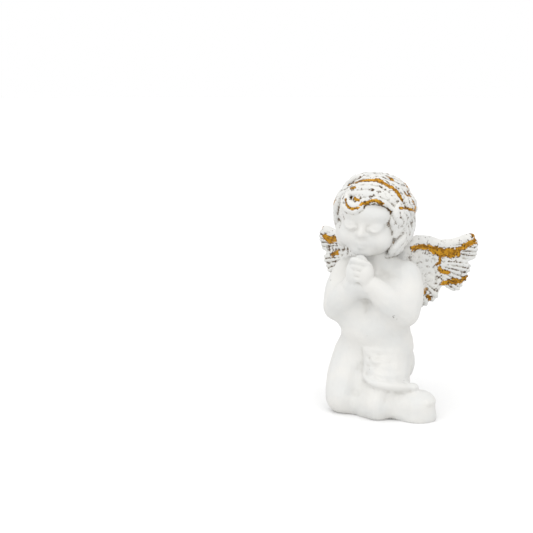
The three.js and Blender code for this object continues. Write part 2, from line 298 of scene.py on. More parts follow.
@dataclass(frozen=True)
class Roll:
    """A tapering roll of clay: the points that it runs through, and its radius at each."""

    points: tuple[Point, ...]
    radii: tuple[float, ...]
    steps: int = 6

    def mirrored(self) -> "Roll":
        """The same roll on the figure's other side."""
        return Roll(tuple((-x, y, z) for x, y, z in self.points), self.radii, self.steps)

    def _rounded(self) -> np.ndarray:
        """Lays out the roll's middle line with a round cap at each end.

        Returns:
            Rows of x, y, z and radius.
        """
        knots = np.column_stack([np.array(self.points, float), np.array(self.radii, float)])
        line = smooth_line(knots, self.steps)
        shares = np.array([0.35, 0.65, 0.87, 0.99])
        caps = []
        for end, inner in ((line[0], line[1]), (line[-1], line[-2])):
            way = (end - inner)[:3]
            way /= np.linalg.norm(way)
            places = end[:3] + np.outer(shares * end[3], way)
            caps.append(np.column_stack([places, end[3] * np.sqrt(1 - shares**2)]))
        return np.vstack([caps[0][::-1], line, caps[1]])

    def model(self) -> bpy.types.Object:
        """Adds the roll as a mesh.

        Returns:
            The new object, with its place in its mesh.
        """
        line = self._rounded()
        bpy.ops.curve.primitive_nurbs_path_add()
        curve = bpy.context.object.data
        curve.splines.clear()
        spline = curve.splines.new("POLY")
        spline.points.add(len(line) - 1)
        for corner, (x, y, z, radius) in zip(spline.points, line):
            corner.co = (x, y, z, 1)
            corner.radius = radius
        curve.bevel_depth = 1
        curve.bevel_resolution = 4
        curve.use_fill_caps = True
        bpy.ops.object.convert(target="MESH")
        return bpy.context.object


class Clay:
    """Lumps of clay that are pressed into one closed form."""

    def __init__(self, name: str) -> None:
        """Starts with no lumps."""
        self.name = name
        self.lumps: list[bpy.types.Object] = []

    def add(self, *forms: Egg | Roll | bpy.types.Object) -> "Clay":
        """Puts more forms on.

        Args:
            forms: Lumps and rolls to model, or finished meshes.

        Returns:
            The clay itself.
        """
        for form in forms:
            ready = isinstance(form, bpy.types.Object)
            self.lumps.append(form if ready else form.model())
        return self

    def pair(self, *forms: Egg | Roll) -> "Clay":
        """Puts forms on at both sides of the figure.

        Args:
            forms: Lumps and rolls at the left side.

        Returns:
            The clay itself.
        """
        for form in forms:
            self.add(form, form.mirrored())
        return self

    def pressed(self, grain: float, fillet: float = 0.0, polish: int = 0) -> bpy.types.Object:
        """Presses all the lumps into one form.

        Args:
            grain: The size of the finest detail that is kept.
            fillet: How far hollows between the lumps are filled.
            polish: How often the surface is stroked smooth.

        Returns:
            The one mesh that is left.
        """
        pick(*self.lumps)
        if len(self.lumps) > 1:
            bpy.ops.object.join()
        form = bpy.context.object
        form.name = self.name
        modify(form, "REMESH", mode="VOXEL", voxel_size=grain)
        if fillet:
            modify(form, "DISPLACE", strength=fillet, mid_level=0.0)
            modify(form, "REMESH", mode="VOXEL", voxel_size=grain)
            modify(form, "DISPLACE", strength=-fillet, mid_level=0.0)
        if polish:
            modify(form, "SMOOTH", factor=0.5, iterations=polish)
        self.lumps = [form]
        return form


@dataclass
class Trunk:
    """Hips, belly, chest, shoulders and neck."""

    pelvis: Egg = Egg((-1.0, 1.5, 16.2), (9.1, 8.2, 8.0))
    belly: Egg = Egg((-0.4, -1.0, 23.0), (8.6, 7.5, 7.6))
    flank: Egg = Egg((0.3, 0.3, 19.0), (10.0, 7.5, 6.8))
    waist: Egg = Egg((0.6, 0.1, 25.0), (9.0, 6.8, 7.4))
    spine: Roll = Roll(((-0.3, 1.7, 18.0), (-0.2, 0.7, 25.0), (0.0, 0.7, 34.0)), (7.1, 6.2, 5.9))
    chest: Egg = Egg((0.0, 0.4, 32.6), (7.9, 6.1, 8.2))
    yoke: Egg = Egg((0.0, 0.3, 36.6), (9.6, 4.8, 4.8))
    buttock: Egg = Egg((3.9, 4.8, 12.4), (4.9, 5.3, 6.0))
    shoulder_blade: Egg = Egg((4.0, 4.4, 35.0), (3.4, 2.0, 4.4), (0.0, 0.0, 25.0))
    neck: Roll = Roll(((0.2, 0.0, 38.0), (0.0, -1.4, 46.0)), (4.6, 4.4))

    def add_to(self, clay: Clay) -> None:
        """Puts the trunk on the clay."""
        clay.add(self.pelvis, self.flank, self.belly, self.waist, self.chest, self.yoke)
        clay.add(self.spine, self.neck)
        clay.pair(self.buttock, self.shoulder_blade)


@dataclass
class Legs:
    """Two folded legs: the right one kneels, the left lower leg lies out to the side."""

    lap: Egg = Egg((-0.4, -2.2, 3.0), (6.2, 8.4, 6.6))
    right_thigh: Roll = Roll(((-5.4, 0.5, 15.0), (-6.1, -3.0, 9.6), (-6.2, -5.4, 4.4)), (6.1, 5.9, 5.5))
    right_shin: Roll = Roll(((-6.2, -5.4, 4.4), (-5.6, 1.6, 3.4), (-4.6, 8.0, 2.8)), (5.4, 4.5, 3.6))
    left_thigh: Roll = Roll(((3.3, 0.5, 15.0), (4.4, -4.0, 9.2), (4.6, -7.2, 3.6)), (6.1, 5.8, 5.2))
    left_shin: Roll = Roll(((4.6, -7.2, 3.6), (9.6, -3.6, 3.4), (13.4, -5.0, 3.4)), (5.2, 3.5, 4.2))
    right_foot: Egg = Egg((-4.0, 11.0, 2.2), (3.0, 4.6, 3.4))
    left_foot: Egg = Egg((13.9, -3.9, 4.9), (4.3, 3.6, 2.8))
    foot_bed: Egg = Egg((13.2, -4.2, 1.2), (5.4, 5.0, 4.2))
    toe_radius: float = 1.1
    toe_count: int = 5
    valleys: tuple[float, ...] = (-2.2, 7.4)
    valley_width: float = 1.8
    valley_depth: float = 0.85
    valley_top: float = 9.5
    valley_fade: float = 4.0
    valley_front: Span = (2.0, 6.0)
    toe_spread: float = 3.1
    toe_shrink: float = 0.06
    big_toe: float = 1.1
    toe_shape: Point = (1.0, 0.85, 0.8)
    toe_inset: float = 0.8
    right_toe_scale: float = 0.75
    right_toe_inset: float = 0.4
    right_toe_drop: float = 0.3

    def add_to(self, clay: Clay) -> None:
        """Puts the legs and feet on the clay."""
        clay.add(self.lap, self.right_thigh, self.right_shin, self.left_thigh, self.left_shin)
        clay.add(self.right_foot, self.left_foot, self.foot_bed)

    def part(self, body: bpy.types.Object) -> None:
        """Presses valleys between the knees and the left lower leg into the front.

        Args:
            body: The bare child.
        """
        places = corners(body)
        x, y, z = places.T
        groove = sum(np.exp(-(((x - valley) / self.valley_width) ** 2)) for valley in self.valleys)
        low = eased(self.valley_top - z, 0, self.valley_fade) * eased(-y, *self.valley_front)
        reshape(body, places - normals(body) * (self.valley_depth * groove * low)[:, None])

    def toes(self) -> list[Egg]:
        """Lays a row of toes across the end of each foot, the big one first.

        Returns:
            The toes of both feet.
        """
        lumps = []
        for number in range(self.toe_count):
            aside = (number - (self.toe_count - 1) / 2) / self.toe_spread
            reach = math.sqrt(1 - aside**2)
            radius = self.toe_radius * (self.big_toe if number == 0 else 1.0 - self.toe_shrink * number)
            (x, y, z), (long, wide, _) = self.left_foot.centre, self.left_foot.radii
            shape = tuple(radius * share for share in self.toe_shape)
            lumps.append(Egg((x + long * reach - self.toe_inset, y + wide * aside, z), shape))
            (x, y, z), (wide, long, _) = self.right_foot.centre, self.right_foot.radii
            place = (x - wide * aside, y + long * reach - self.right_toe_inset, z - self.right_toe_drop)
            lumps.append(Egg(place, (radius * self.right_toe_scale,) * 3))
        return lumps


@dataclass
class Arms:
    """Two plump arms, folded up in front of the chest."""

    upper: Roll = Roll(((7.6, 0.6, 36.4), (9.1, -1.4, 32.4), (9.2, -3.6, 28.0)), (4.6, 4.5, 4.2))
    fore: Roll = Roll(((9.2, -3.6, 28.0), (6.3, -6.6, 31.0), (2.4, -9.0, 35.2)), (4.2, 3.9, 2.7))

    def add_to(self, clay: Clay) -> None:
        """Puts both arms on the clay."""
        clay.pair(self.upper, self.fore)


@dataclass
class Hands:
    """Two small hands with folded fingers, close under the lips."""

    middle: float = -0.8
    palm: Egg = Egg((1.6, -10.0, 38.4), (2.1, 2.5, 3.4))
    thumb: Roll = Roll(((1.5, -9.0, 38.4), (1.2, -9.3, 40.6), (0.5, -9.8, 42.2)), (1.1, 1.05, 0.9))
    wrist: Roll = Roll(((2.6, -9.0, 35.0), (1.7, -9.8, 37.2)), (2.6, 2.0))
    finger_radius: float = 0.82
    finger_pitch: float = 1.6
    finger_count: int = 4
    finger_step: float = 0.2
    left_set_back: float = 1.5
    top: float = 42.0

    def _finger(self, side: Side, number: int) -> Roll:
        """Bends one finger from its knuckle over the other hand.

        Args:
            side: The hand that the finger belongs to.
            number: Its place, counted from the index finger down.

        Returns:
            The finger.
        """
        way = side.value
        height = self.top - self.finger_pitch * (number + (0.5 if side is Side.LEFT else 0.0))
        back = self.finger_step * number + (self.left_set_back if side is Side.LEFT else 0.0)
        radius = self.finger_radius
        course = (
            (self.middle + way * 2.1, -10.3 + back, height - 0.9),
            (self.middle + way * 1.1, -11.9 + back, height),
            (self.middle - way * 0.9, -12.0 + back, height - 0.3),
            (self.middle - way * 2.6, -10.7 + back, height - 1.2),
        )
        return Roll(course, (radius, radius * 1.05, radius, radius * 0.8), 5)

    def build(self) -> bpy.types.Object:
        """Models both hands.

        Returns:
            The hands in the figure's frame.
        """
        clay = Clay("hands")
        for side in Side:
            for form in (self.palm, self.thumb, self.wrist):
                lump = (form if side is Side.LEFT else form.mirrored()).model()
                reshape(lump, corners(lump) + np.array([self.middle, 0, 0]))
                clay.add(lump)
            clay.add(*(self._finger(side, number) for number in range(self.finger_count)))
        return clay.pressed(CAST_GRAIN, polish=1)


@dataclass
class Loincloth:
    """A cloth round the hips: open over the right thigh, with a heavy hem and soft wrinkles."""

    axis: Angles = (-0.6, 0.0)
    opening: float = 0.0
    far_end: float = 250.0
    waist: float = 18.6
    back_rise: float = 1.6
    thickness: float = 0.6
    lip: float = 0.35
    front_fade: float = 0.7
    back_fade: float = 3.6
    wrinkle: float = 0.2
    side_wrinkle: float = 0.02
    wrinkle_pitch: float = 2.1
    wrinkle_slope: float = 75.0
    wrinkle_wave: float = 0.25
    waves_round: float = 3.0
    wrinkle_edge: Span = (0.2, 2.0)
    front_turn: Span = (30.0, 70.0)
    hem_stations: tuple[Angles, ...] = ((0, 10.2), (40, 9.4), (90, 8.4), (150, 8.4), (200, 9.6), (250, 12.5))
    hem: Roll = Roll(
        ((0.2, -8.6, 10.7), (3.2, -10.4, 10.0), (6.8, -10.2, 9.5), (9.8, -7.9, 8.8), (11.6, -5.4, 8.3)),
        (0.5, 1.0, 1.15, 1.05, 0.9),
    )
    knot: Egg = Egg((12.3, -4.9, 8.5), (1.7, 1.4, 1.1))
    folds: tuple[Roll, ...] = (
        Roll(((1.6, -8.4, 12.9), (3.6, -8.9, 12.4), (6.6, -7.8, 12.7)), (0.4, 0.6, 0.4)),
        Roll(((2.0, -7.8, 15.2), (3.6, -8.1, 14.9), (5.8, -7.0, 15.2)), (0.4, 0.6, 0.4)),
        Roll(((5.6, -8.2, 12.8), (8.6, -6.6, 11.0), (10.6, -5.0, 9.2)), (0.3, 0.7, 0.7)),
    )

    def _hem_height(self, turn: np.ndarray) -> np.ndarray:
        """Gives the height of the lower edge all round the hips.

        Args:
            turn: Angles round the hips, from the front towards the figure's left.

        Returns:
            One height for each angle.
        """
        turns, heights = zip(*self.hem_stations)
        return np.interp(turn, turns, heights)

    def drape(self, body: bpy.types.Object) -> None:
        """Raises the skin of the hips into a cloth.

        Args:
            body: The bare child.
        """
        places = corners(body)
        x, y = places[:, 0] - self.axis[0], places[:, 1] - self.axis[1]
        turn = np.degrees(np.arctan2(x, -y)) % 360
        arc = np.radians(1) * np.hypot(x, y)
        height = places[:, 2]
        behind = 0.5 * (1 - np.cos(np.radians(turn)))
        waist = self.waist + self.back_rise * behind
        fade = self.front_fade + (self.back_fade - self.front_fade) * np.sqrt(behind)
        inside = np.minimum.reduce([
            (turn - self.opening) * arc,
            (self.far_end - turn) * arc,
            height - self._hem_height(turn),
        ])
        cover = eased(inside, 0, self.lip) * eased((waist - height) / fade, 0, 1)
        wave = self.wrinkle_wave * np.sin(np.radians(turn * self.waves_round))
        phase = height / self.wrinkle_pitch + turn / self.wrinkle_slope + wave
        depth = self.wrinkle + (self.side_wrinkle - self.wrinkle) * eased(turn, *self.front_turn)
        ripple = depth * np.sin(2 * math.pi * phase) * cover * eased(inside, *self.wrinkle_edge)
        lift = cover * self.thickness + ripple
        reshape(body, places + normals(body) * lift[:, None])

    def trimmings(self) -> list[Egg | Roll]:
        """Gives the hem, its knot and the deep folds over the left thigh."""
        return [self.hem, self.knot, *self.folds]


@dataclass
class Head:
    """A round child's head with a calm, sleeping face, leaning and nodding a little."""

    centre: Point = (-0.5, -1.9, 52.8)
    nod: float = 9.0
    lean: float = 6.0
    turn: float = 3.0
    skull: Egg = Egg((0.0, 0.6, 0.6), (8.8, 9.3, 8.2))
    nape: Egg = Egg((0.0, 2.8, -4.6), (7.6, 6.8, 6.0))
    jaw: Egg = Egg((0.0, -3.0, -4.6), (7.2, 5.9, 5.5))
    cheek: Egg = Egg((3.8, -5.2, -4.5), (3.5, 3.3, 3.3))
    muzzle: Egg = Egg((0.0, -6.8, -5.7), (2.8, 2.0, 2.2))
    brow: Egg = Egg((0.0, -5.6, 2.0), (6.6, 3.8, 3.4))
    chin: Egg = Egg((0.0, -6.5, -8.0), (3.1, 2.2, 1.8))
    eye: Egg = Egg((3.25, -7.3, -1.2), (1.9, 1.35, 1.5))
    lid: Egg = Egg((3.25, -7.35, -0.75), (2.1, 1.45, 1.25))
    lash: Roll = Roll(((1.6, -8.5, -1.3), (3.3, -8.95, -1.9), (5.0, -8.1, -1.3)), (0.2, 0.3, 0.2))
    brow_line: Roll = Roll(((1.7, -8.7, 1.4), (3.5, -8.6, 2.0), (5.6, -7.1, 1.5)), (0.3, 0.4, 0.3))
    bridge: Roll = Roll(((0.0, -8.2, 0.2), (0.0, -8.6, -1.4), (0.0, -9.3, -2.8)), (0.7, 0.75, 1.05))
    nostril: Egg = Egg((0.95, -8.8, -3.15), (0.7, 0.75, 0.6))
    upper_lip: Roll = Roll(
        ((-1.8, -8.0, -5.7), (-0.65, -8.7, -5.3), (0.0, -8.7, -5.45), (0.65, -8.7, -5.3), (1.8, -8.0, -5.7)),
        (0.3, 0.55, 0.48, 0.55, 0.3),
    )
    lower_lip: Roll = Roll(((-1.3, -8.0, -6.15), (0.0, -8.55, -6.45), (1.3, -8.0, -6.15)), (0.3, 0.68, 0.3))

    def pose(self) -> Matrix:
        """Gives the place and the lean of the head on the body."""
        angles = [math.radians(angle) for angle in (self.nod, self.lean, self.turn)]
        return Matrix.Translation(self.centre) @ Euler(angles, "XYZ").to_matrix().to_4x4()

    def place(self, form: bpy.types.Object) -> bpy.types.Object:
        """Sets a form of the upright head on the body.

        Args:
            form: A mesh that was modelled about the middle of the head.

        Returns:
            The same mesh, in the figure's frame.
        """
        form.data.transform(self.pose())
        return form

    def build(self) -> bpy.types.Object:
        """Models the head without its hair.

        Returns:
            The head in the figure's frame.
        """
        rough = Clay("head").add(self.skull, self.nape, self.jaw, self.brow, self.chin, self.muzzle)
        rough.pair(self.cheek).pressed(ROUGH_GRAIN, fillet=0.9, polish=10)
        rough.add(self.bridge).pair(self.eye, self.brow_line, self.nostril)
        rough.pressed(FINE_GRAIN, fillet=0.45, polish=5)
        rough.add(self.upper_lip, self.lower_lip).pair(self.lid, self.lash)
        return self.place(rough.pressed(FINE_GRAIN, fillet=0.1, polish=2))


@dataclass(frozen=True)
class Lock:
    """One lock of hair: the turn and rise, in degrees, that it runs through, its strands and its lift."""

    course: tuple[Angles, ...]
    strands: int = 3
    lift: float = 1.0


@dataclass
class Hair:
    """Short wavy hair, combed over from the right and falling in locks round the head."""

    head: Head
    centre: Point = (0.0, 0.9, 0.8)
    radii: Point = (8.6, 9.0, 7.2)
    fall: float = 10.5
    strand: float = 1.5
    strand_fill: float = 0.53
    strand_least: float = 0.1
    tip_fullness: float = 0.45
    crown: float = 0.5
    cap: Egg = Egg((0.0, 1.5, 1.0), (9.8, 9.6, 8.1))
    nape: Egg = Egg((0.0, 3.4, -4.2), (9.2, 7.7, 6.8))
    temple: Egg = Egg((6.9, -0.4, -5.2), (2.6, 3.8, 4.6))
    row_count: int = 9
    stagger: float = 6.0
    sway: float = 2.5
    rows: tuple[tuple[tuple[Angles, ...], float, float, int], ...] = (
        (((-50, 76), (-18, 62), (-4, 44), (8, 24)), 72, 24, 4),
        (((6, 36), (-4, 20), (5, 4), (-2, -16)), 66, 23, 3),
        (((-4, 4), (6, -16), (-5, -34), (4, -48), (-4, -60)), 74, 23, 3),
    )
    sweeps: tuple[Lock, ...] = (
        Lock(((-60, 46), (-22, 60), (25, 63), (52, 49), (64, 28)), 3),
        Lock(((-72, 58), (-40, 74), (45, 76), (72, 58), (82, 32)), 3),
        Lock(((-58, 38), (-26, 47), (14, 51), (44, 40), (58, 20)), 2),
        Lock(((-24, 32), (0, 39), (22, 42), (44, 32), (56, 12)), 2, 0.8),
        Lock(((-52, 42), (-44, 30), (-30, 21), (-14, 19), (-6, 27), (-14, 34)), 2, 0.7),
        Lock(((-60, 50), (-70, 34), (-68, 16), (-72, 0), (-82, -10)), 2, 0.4),
        Lock(((-74, 40), (-82, 24), (-78, 4), (-82, -16), (-94, -26)), 3, 0.4),
        Lock(((44, 30), (55, 18), (54, 0), (60, -16), (54, -30)), 2, -0.2),
        Lock(((58, 30), (66, 14), (63, -4), (70, -24), (63, -42)), 3, 0.3),
    )

    def on_head(self, turn: float, rise: float, lift: float) -> np.ndarray:
        """Finds a place on the hair.

        Args:
            turn: The angle from the face towards the figure's left, in degrees.
            rise: The angle above the middle of the hair, in degrees.
            lift: The height above the hair's egg, in millimetres.

        Returns:
            The place about the middle of the head.
        """
        around, up = math.radians(turn), math.radians(rise)
        below = rise < 0
        level = math.sqrt(math.cos(up)) if below else math.cos(up)
        tall = self.fall if below else self.radii[2]
        offset = (
            (self.radii[0] + lift) * level * math.sin(around),
            -(self.radii[1] + lift) * level * math.cos(around),
            (tall + lift) * math.sin(up),
        )
        return np.array(self.centre) + np.array(offset)

    def _strands(self, lock: Lock) -> Iterable[Roll]:
        """Parts a lock into strands that lie side by side and meet at its tip.

        Args:
            lock: The lock to model.

        Yields:
            One roll for each strand.
        """
        course = smooth_line(np.array(lock.course, float), 5)
        share = np.linspace(0, 1, len(course))
        full = self.tip_fullness + (1 - self.tip_fullness) * np.sin(math.pi * share**0.8)
        middle = np.array([self.on_head(turn, rise, lock.lift) for turn, rise in course])
        outward = middle - np.array(self.centre)
        outward /= np.linalg.norm(outward, axis=1)[:, None]
        across = np.cross(outward, np.gradient(middle, axis=0))
        across /= np.linalg.norm(across, axis=1)[:, None]
        gap = self.strand
        for number in range(lock.strands):
            seat = number - (lock.strands - 1) / 2
            crown = self.crown * (1 - (2 * seat / lock.strands) ** 2)
            rise = (crown + self.crown * np.sin(math.pi * share)) * full
            line = middle + across * (seat * gap * full)[:, None] + outward * rise[:, None]
            radius = self.strand_fill * gap * full + self.strand_least
            yield Roll(tuple(map(tuple, line)), tuple(radius), 2)

    def _falling(self) -> Iterable[Lock]:
        """Hangs rows of wavy locks round the sides and the back.

        Yields:
            The locks, from the crown down.
        """
        for course, first, step, strands in self.rows:
            for number in range(self.row_count):
                turn = first + step * number
                drop = self.stagger * (number * 2 % 3 - 1)
                sway = self.sway * (number % 3 - 1)
                steps = enumerate(course)
                path = tuple((turn + aside + sway * place, rise + drop) for place, (aside, rise) in steps)
                yield Lock(path, strands)

    def build(self) -> bpy.types.Object:
        """Models the whole head of hair.

        Returns:
            The hair in the figure's frame.
        """
        clay = Clay("hair").add(self.cap, self.nape).pair(self.temple)
        for lock in (*self._falling(), *self.sweeps):
            clay.add(*self._strands(lock))
        hair = clay.pressed(CAST_GRAIN, polish=1)
        weather(hair, size=0.9, depth=0.45)
        return self.head.place(hair)


@dataclass(frozen=True)
class Quills:
    """A spread of feathers from one root: first angle, step between feathers and length."""

    root: Angles
    first: float
    step: float
    length: float
    count: int = 3


@dataclass
class Wing:
    """One small open wing: a thick leading edge, a cupped covert and three lobes of feathers."""

    side: Side
    root: Angles = (2.6, 5.2)
    sweep: float = 33.0
    span: float = 24.0
    cup: float = 1.6
    flatness: float = 2.4
    edge: Roll = Roll(
        ((0.0, 0.0, 37.0), (5.0, 0.0, 43.6), (9.5, 0.0, 44.3), (15.0, 0.0, 43.4), (21.6, 0.0, 45.5)),
        (2.2, 2.0, 1.8, 1.5, 1.2),
    )
    covert: Egg = Egg((6.5, 0.0, 37.4), (7.6, 3.4, 8.4))
    lobes: tuple[Egg, ...] = (
        Egg((16.6, 0.0, 42.4), (5.6, 2.4, 2.6), (0.0, -8.0, 0.0)),
        Egg((14.4, 0.0, 36.8), (5.6, 2.4, 4.6), (0.0, 25.0, 0.0)),
        Egg((9.4, 0.0, 32.2), (4.7, 2.4, 5.0)),
    )
    spreads: tuple[Quills, ...] = (
        Quills((8.0, 42.6), 3.4, -4.8, 13.8),
        Quills((7.0, 39.6), -9.5, -11.5, 13.2),
        Quills((6.0, 36.0), -48.0, -21.0, 8.2),
    )
    root_radius: float = 1.6
    tip_radius: float = 2.1
    layer: float = 0.8
    barb_pitch: float = 1.3
    barb_depth: float = 0.35
    barb_start: Span = (0.45, 0.7)
    feather_middle: float = 0.55

    def _carve(self, wing: bpy.types.Object) -> None:
        """Cuts grooves between the barbs of the feathers.

        Args:
            wing: The flat wing.
        """
        places = corners(wing)
        depth = np.zeros(len(places))
        for spread in self.spreads:
            out, up = places[:, 0] - spread.root[0], places[:, 2] - spread.root[1]
            seat = (np.degrees(np.arctan2(up, out)) - spread.first) / spread.step
            barbs = max(1, round(abs(math.radians(spread.step)) * spread.length / self.barb_pitch))
            groove = 0.5 - 0.5 * np.cos(2 * math.pi * (seat + 0.5) * barbs)
            across = eased(seat, -0.9, -0.5) * (1 - eased(seat, spread.count - 0.5, spread.count - 0.1))
            along = eased(np.hypot(out, up) / spread.length, *self.barb_start)
            depth = np.maximum(depth, (1 - groove) * across * along)
        reshape(wing, places - normals(wing) * (self.barb_depth * depth)[:, None])

    def _feathers(self) -> Iterable[Roll]:
        """Fans out the feathers of every spread.

        Yields:
            Each feather, laid flat.
        """
        for spread in self.spreads:
            for number in range(spread.count):
                angle = math.radians(spread.first + spread.step * number)
                lift = self.layer * (number - 1)
                out, up = math.cos(angle), math.sin(angle)
                x, z = spread.root
                half = self.feather_middle * spread.length
                middle = (x + half * out, lift, z + half * up)
                tip = (x + spread.length * out, lift, z + spread.length * up)
                yield Roll(((x, 0.0, z), middle, tip), (self.root_radius, self.tip_radius, self.tip_radius))

    def _open(self, wing: bpy.types.Object) -> None:
        """Cups the flat wing and sets it on the back.

        Args:
            wing: The flat wing.
        """
        x, y, z = corners(wing).T
        share = np.clip(x / self.span, 0, 1)
        y = y + self.cup * 4 * share * (1 - share)
        angle = math.radians(self.sweep)
        out = x * math.cos(angle) - y * math.sin(angle) + self.root[0]
        back = x * math.sin(angle) + y * math.cos(angle) + self.root[1]
        reshape(wing, np.column_stack([self.side.value * out, back, z]))
        if self.side is Side.RIGHT:
            pick(wing)
            bpy.ops.object.mode_set(mode="EDIT")
            bpy.ops.mesh.select_all(action="SELECT")
            bpy.ops.mesh.flip_normals()
            bpy.ops.object.mode_set(mode="OBJECT")

    def laid_flat(self, places: np.ndarray) -> np.ndarray:
        """Brings places on the figure back to the flat wing.

        Args:
            places: Rows of x, y and z on the figure.

        Returns:
            Rows of the distance out along the wing and the height.
        """
        angle = math.radians(self.sweep)
        out = self.side.value * places[:, 0] - self.root[0]
        back = places[:, 1] - self.root[1]
        return np.column_stack([out * math.cos(angle) + back * math.sin(angle), places[:, 2]])

    def build(self) -> bpy.types.Object:
        """Models the wing.

        Returns:
            The wing in the figure's frame.
        """
        clay = Clay(f"{self.side.name.lower()}_wing")
        clay.add(self.covert, *self.lobes, *self._feathers())
        for lump in clay.lumps:
            reshape(lump, corners(lump) / np.array([1, self.flatness, 1]))
        clay.add(self.edge)
        wing = clay.pressed(FINE_GRAIN, fillet=0.15, polish=2)
        self._carve(wing)
        weather(wing, size=1.1, depth=0.6)
        self._open(wing)
        return wing


@dataclass(frozen=True)
class Stroke:
    """A stroke of gold paint: the points that it runs through and its width in millimetres."""

    points: tuple[Angles, ...]
    width: float

    def line(self) -> np.ndarray:
        """The points close together along the stroke."""
        return smooth_line(np.array(self.points, float), 8)


@dataclass
class Gilding:
    """Where the gold paint stays: in the furrows of the hair and under the wings' leading edges."""

    hair: Hair
    wings: list[Wing]
    pits: tuple[Egg, ...] = (
        Egg((0.5, -8.2, 21.6), (0.7, 1.2, 0.7)),
        Egg((-0.9, -7.6, 19.5), (0.7, 1.2, 0.7)),
        Egg((-11.0, -4.4, 34.9), (0.7, 1.2, 0.7)),
        Egg((8.6, -8.2, 27.2), (2.4, 2.4, 2.6)),
        Egg((10.5, -5.9, 10.1), (1.2, 1.2, 0.8)),
        Egg((2.4, -9.0, 13.1), (1.6, 1.2, 0.8)),
        Egg((6.6, -8.4, 13.4), (1.0, 1.2, 0.8)),
    )
    hair_reach: float = 10.6
    cleanness: float = 0.7
    clean_depth: Angles = (-1.0, 3.0)
    clean_height: Angles = (49.0, 54.0)
    clean_edge: Span = (0.7, 1.1)
    pit_edge: Span = (0.4, 1.2)
    clean_spot: Egg = Egg((6.5, 0.0, 36.2), (6.6, 1.0, 6.0))
    hair_strokes: tuple[Stroke, ...] = (
        Stroke(((-58, 57), (-30, 66), (25, 69), (46, 61), (58, 52), (66, 33)), 0.42),
        Stroke(((20, 71), (38, 66), (52, 58)), 0.5),
        Stroke(((110, 85), (93, 76), (78, 65)), 0.34),
        Stroke(((164, 69), (132, 53), (101, 41)), 0.36),
        Stroke(((-41, 48), (-29, 51)), 0.28),
        Stroke(((-21, 36), (-9, 33)), 0.3),
        Stroke(((-33, 29), (-26, 22), (-17, 18), (-6, 21)), 0.3),
        Stroke(((-4, 27), (3, 32), (18, 36), (31, 32)), 0.34),
        Stroke(((57, 22), (71, 19), (91, 8)), 0.3),
        Stroke(((88, 25), (93, 13), (97, 5)), 0.4),
        Stroke(((84, 38), (97, 33)), 0.36),
        Stroke(((-72, 5), (-66, 16), (-68, 30)), 0.34),
        Stroke(((120, 30), (140, 22), (150, 6)), 0.4),
        Stroke(((180, 40), (196, 26), (204, 8)), 0.4),
        Stroke(((236, 34), (246, 18), (244, 0)), 0.36),
        Stroke(((150, -14), (160, -30), (154, -44)), 0.36),
    )
    wing_strokes: tuple[Stroke, ...] = (
        Stroke(((5.4, 43.0), (8.0, 43.4), (12.5, 42.6), (16.4, 41.8), (20.0, 43.2), (23.0, 45.2)), 0.55),
        Stroke(((11.5, 42.4), (14.5, 41.3), (18.0, 41.6)), 0.85),
        Stroke(((22.0, 46.2), (23.6, 45.6), (23.6, 44.2)), 0.55),
        Stroke(((13.4, 40.4), (13.2, 38.8), (12.4, 38.2)), 0.34),
        Stroke(((13.2, 37.4), (13.8, 36.3), (15.8, 36.0)), 0.42),
        Stroke(((14.6, 32.9), (16.8, 33.6), (19.0, 33.6), (21.0, 34.6)), 0.55),
        Stroke(((9.0, 30.7), (9.5, 31.5)), 0.4),
        Stroke(((10.4, 29.5), (10.9, 29.0)), 0.45),
    )
    far_strokes: tuple[Stroke, ...] = (
        Stroke(((17.0, 43.4), (19.4, 42.6), (21.0, 43.4)), 0.7),
        Stroke(((22.6, 46.0), (23.4, 44.8)), 0.45),
        Stroke(((16.4, 39.4), (18.2, 38.6)), 0.5),
        Stroke(((12.4, 36.0), (13.6, 34.4)), 0.45),
        Stroke(((14.6, 32.9), (17.8, 33.6)), 0.4),
    )

    def _hair_gold(self, places: np.ndarray) -> np.ndarray:
        """Measures how close places on the head are to the strokes of gold.

        Args:
            places: Rows of x, y and z on the figure.

        Returns:
            One at the middle of a stroke, a half at its edge, nought away from it.
        """
        back = np.array(self.hair.head.pose().inverted())
        local = places @ back[:3, :3].T + back[:3, 3]
        ways = (local - np.array(self.hair.centre)) / np.array(self.hair.radii)
        ways /= np.linalg.norm(ways, axis=1)[:, None]
        gold = np.zeros(len(places))
        for stroke in self.hair_strokes:
            turn, rise = np.radians(stroke.line()).T
            line = np.column_stack([np.sin(turn) * np.cos(rise), -np.cos(turn) * np.cos(rise), np.sin(rise)])
            apart = self.hair_reach * np.arccos(np.clip((ways @ line.T).max(axis=1), -1, 1))
            gold = np.maximum(gold, 1 - apart / (2 * stroke.width))
        return gold

    def _wing_gold(self, places: np.ndarray) -> np.ndarray:
        """Measures how close places on the wings are to the strokes of gold.

        Args:
            places: Rows of x, y and z on the figure.

        Returns:
            One at the middle of a stroke, a half at its edge, nought away from it.
        """
        gold = np.zeros(len(places))
        for wing in self.wings:
            flat = wing.laid_flat(places)
            for stroke in self.wing_strokes if wing.side is Side.LEFT else self.far_strokes:
                gaps = np.linalg.norm(flat[:, None] - stroke.line()[None], axis=2).min(axis=1)
                gold = np.maximum(gold, 1 - gaps / (2 * stroke.width))
        return gold

